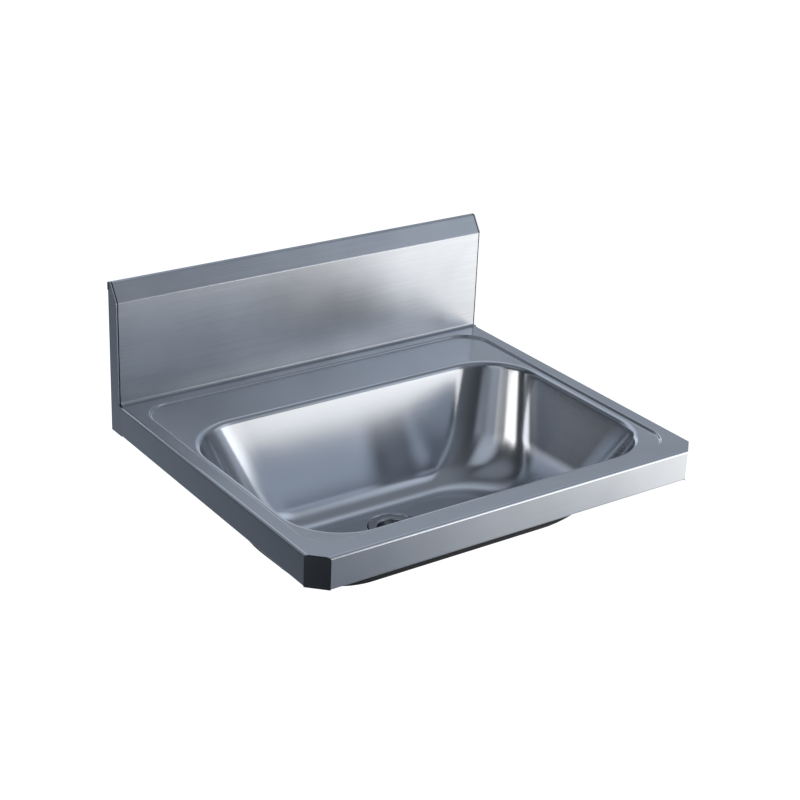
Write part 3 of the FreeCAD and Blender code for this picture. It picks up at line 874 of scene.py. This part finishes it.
def dress(material, edge, *nodes):
    """Gives nodes of the solids a material and, where edge isn't 0, rounded edges."""
    for node in nodes:
        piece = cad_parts[node]
        piece.data.materials.clear()
        piece.data.materials.append(material)
        if edge:
            joined = piece.modifiers.new("joined", "WELD")
            joined.merge_threshold = WELD_REACH * MM
            worn = piece.modifiers.new("worn_edges", "BEVEL")
            worn.width = edge * MM
            worn.segments = EDGE_SEGMENTS
            worn.limit_method = "ANGLE"
            worn.angle_limit = math.radians(EDGE_ANGLE)
            worn.harden_normals = True


dress(plate_steel, 0.0, "corner_plate_left", "corner_plate_right",
      "splash_end_left", "splash_end_right")
dress(mill_steel, 0.0, "deck_stiffener", "lower_tab_left", "lower_tab_right", "earth_tag")
dress(mill_steel, 0.3, "hook_channel", "wall_rail")
dress(pad_rubber, 0.8, "sound_pads")
dress(zinc, 0.15, "earth_washer")
dress(zinc, 0.35, "earth_nut")
dress(seal_rubber, 0.3, "waste_flange_seal", "waste_lower_seal")
dress(brass, 0.45, "waste_backnut")


# ---- floor, light and camera, in metres -----------------------------------------------

FLOOR_DROP = 0.80                # the basin hangs this far above the floor
FLOOR_HALF = 12.0                # half a side of the floor
FLOOR_GREY, FLOOR_SHINE, FLOOR_ROUGHNESS = 0.88, 0.85, 0.9     # as the eye sees it
FLOOR_WAY = (0.95, 0.30, 0.0)    # the floor brightens this way
FLOOR_GLOW = (                   # metres that way, and what the steel sees there
    (-2.70, (0.26, 0.28, 0.31)),
    (-2.29, (0.18, 0.20, 0.23)),
    (-2.07, (0.004, 0.005, 0.006)),
    (-0.96, (0.006, 0.007, 0.008)),
    (-0.48, (0.15, 0.17, 0.20)),
    (0.04, (0.18, 0.20, 0.23)),
    (0.41, (0.46, 0.48, 0.50)),
    (0.56, (0.58, 0.59, 0.60)),
    (0.74, (0.94, 0.93, 0.91)),
    (1.00, (1.34, 1.30, 1.25)),
    (1.35, (1.34, 1.30, 1.25)),
    (2.10, (0.62, 0.62, 0.62)),
    (2.60, (0.44, 0.45, 0.47)),
)
ROOM_COLOUR = (0.89, 0.98, 1.11, 1)
ROOM_BASE = 0.048
ROOM_CORE = 0.3                  # share of a field's spread that has its full level
ROOM = (                         # soft grey fields: azimuth, elevation, spread, level
    (60, 45, 62, 0.155),
    (150, 32, 52, 0.27),
    (-47, 42, 20, 0.42),
    (-155, 12, 30, 0.20),
    (52, 22, 24, 0.36),
    (176, 34, 22, 0.25),
    (-105, 64, 24, 0.15),
    (-27, 22, 9, 0.40),
    (161, 8, 13, 0.55),
    (142, 56, 26, 0.16),
    (48, 34, 16, 0.15),
)
LAMPS = (                        # azimuth, elevation, width and height seen, level
    ("key_front_right", 39, 1, 30, 28, 1.2),
    ("strip_left", -85, 24, 20, 13, 1.85),
    ("rear_fill", -172, 8, 46, 34, 0.5),
    ("strip_left_far", -66, 31, 20, 10, 0.45),
)
LAMP_COLOUR = (1.0, 0.975, 0.94)
LAMP_TARGET, LAMP_DISTANCE = (0, -0.25, -0.12), 2.6
CAMERA_AZIMUTH, CAMERA_ELEVATION, CAMERA_ROLL = -34.59, 24.34, 2.00
CAMERA_MIDDLE = 0.4              # from the wall, in widths of the basin
CAMERA_RIGHT, CAMERA_UP, CAMERA_BACK = -0.076, 0.041, 3.887    # from there, in widths
CAMERA_LENS, CAMERA_SENSOR, CAMERA_SHIFT = 78.3, 36.0, 0.05
WHITE = (1, 1, 1, 1)


def aim(azimuth, elevation):
    """A direction: azimuth from the front towards the right, elevation from the level."""
    a, e = math.radians(azimuth), math.radians(elevation)
    return Vector((math.sin(a) * math.cos(e), -math.cos(a) * math.cos(e), math.sin(e)))


def make_floor():
    """Plain pale floor: white to the eye, and to the steel brightest at the right."""
    corners = [(x * FLOOR_HALF, y * FLOOR_HALF, -FLOOR_DROP)
               for x, y in ((-1, -1), (1, -1), (1, 1), (-1, 1))]
    mesh = bpy.data.meshes.new("floor")
    mesh.from_pydata(corners, [], [(0, 1, 2, 3)])
    floor = bpy.data.objects.new("floor", mesh)
    bpy.context.scene.collection.objects.link(floor)
    m = Surface("studio_floor")
    m.set(Base_Color=(FLOOR_GREY, FLOOR_GREY, FLOOR_GREY, 1), Roughness=FLOOR_ROUGHNESS,
          Emission_Color=WHITE, Emission_Strength=FLOOR_SHINE)
    ramp = m.node("ShaderNodeValToRGB")
    stops = ramp.color_ramp.elements
    low, high = FLOOR_GLOW[0][0], FLOOR_GLOW[-1][0]
    for n, (reach, colour) in enumerate(FLOOR_GLOW):
        if n > 1:                # a new ramp has two stops
            stops.new(1.0)
        stops[n].position = (reach - low) / (high - low)
        stops[n].color = (*colour, 1)
    along = m.reach(m.place("Object"), FLOOR_WAY)
    m.link(m.remap(along, 0.0, 1.0, low, high), ramp.inputs["Fac"])
    glow = m.node("ShaderNodeEmission")
    m.link(ramp.outputs["Color"], glow.inputs["Color"])
    m.split(glow.outputs["Emission"], m.shader.outputs["BSDF"], "Material Output")
    mesh.materials.append(m.material)


def make_world():
    """White to the eye, and to the steel a dim grey room with soft lighter fields."""
    world = bpy.data.worlds.new("studio")
    bpy.context.scene.world = world
    world.use_nodes = True
    m = Nodes(world.node_tree)
    way = m.place("Generated")
    total = None
    for azimuth, elevation, spread, level in ROOM:
        field = m.remap(m.reach(way, aim(azimuth, elevation)), 0.0, level,
                        math.cos(math.radians(spread)),
                        math.cos(math.radians(spread * ROOM_CORE)),
                        interpolation_type="SMOOTHSTEP")
        add = m.node("ShaderNodeMath", operation="ADD")
        m.link(field, add.inputs[0])
        if total:
            m.link(total, add.inputs[1])
        else:
            add.inputs[1].default_value = ROOM_BASE
        total = add.outputs["Value"]
    dim = m.tree.nodes["Background"]
    dim.inputs["Color"].default_value = ROOM_COLOUR
    m.link(total, dim.inputs["Strength"])
    white = m.node("ShaderNodeBackground")
    white.inputs["Color"].default_value = WHITE
    m.split(dim.outputs["Background"], white.outputs["Background"], "World Output")


def softbox(name, azimuth, elevation, wide, high, level):
    """A rectangular lamp, seen from the bowl at these angles and at a plain level."""
    size = [2 * LAMP_DISTANCE * math.tan(math.radians(angle / 2))
            for angle in (wide, high)]
    data = bpy.data.lights.new(name, "AREA")
    data.shape = "RECTANGLE"
    data.size, data.size_y = size
    data.energy = level * math.pi * size[0] * size[1]
    data.color = LAMP_COLOUR
    light = bpy.data.objects.new(name, data)
    bpy.context.scene.collection.objects.link(light)
    way = aim(azimuth, elevation)
    light.location = Vector(LAMP_TARGET) + way * LAMP_DISTANCE
    light.rotation_mode = "QUATERNION"
    light.rotation_quaternion = (-way).to_track_quat("-Z", "Y")
    light.visible_camera = False


def make_camera():
    """The photograph's camera, fitted to corners of the basin."""
    back = aim(CAMERA_AZIMUTH, CAMERA_ELEVATION)
    roll = math.radians(CAMERA_ROLL)
    level = Vector((0, 0, 1)).cross(back).normalized()
    upright = back.cross(level)
    right = math.cos(roll) * level + math.sin(roll) * upright
    up = math.cos(roll) * upright - math.sin(roll) * level
    reach = width * MM
    place = Vector((0, -CAMERA_MIDDLE * reach, -hang_height * MM)) + reach * (
        CAMERA_RIGHT * right + CAMERA_UP * up + CAMERA_BACK * back)
    data = bpy.data.cameras.new("camera")
    data.lens = CAMERA_LENS
    data.sensor_width = CAMERA_SENSOR
    data.shift_x = CAMERA_SHIFT
    camera = bpy.data.objects.new("camera", data)
    bpy.context.scene.collection.objects.link(camera)
    camera.matrix_world = Matrix((
        (right.x, up.x, back.x, place.x), (right.y, up.y, back.y, place.y),
        (right.z, up.z, back.z, place.z), (0, 0, 0, 1)))
    bpy.context.scene.camera = camera


make_floor()
make_world()
for lamp in LAMPS:
    softbox(*lamp)
make_camera()
bpy.context.scene.view_settings.view_transform = "Standard"
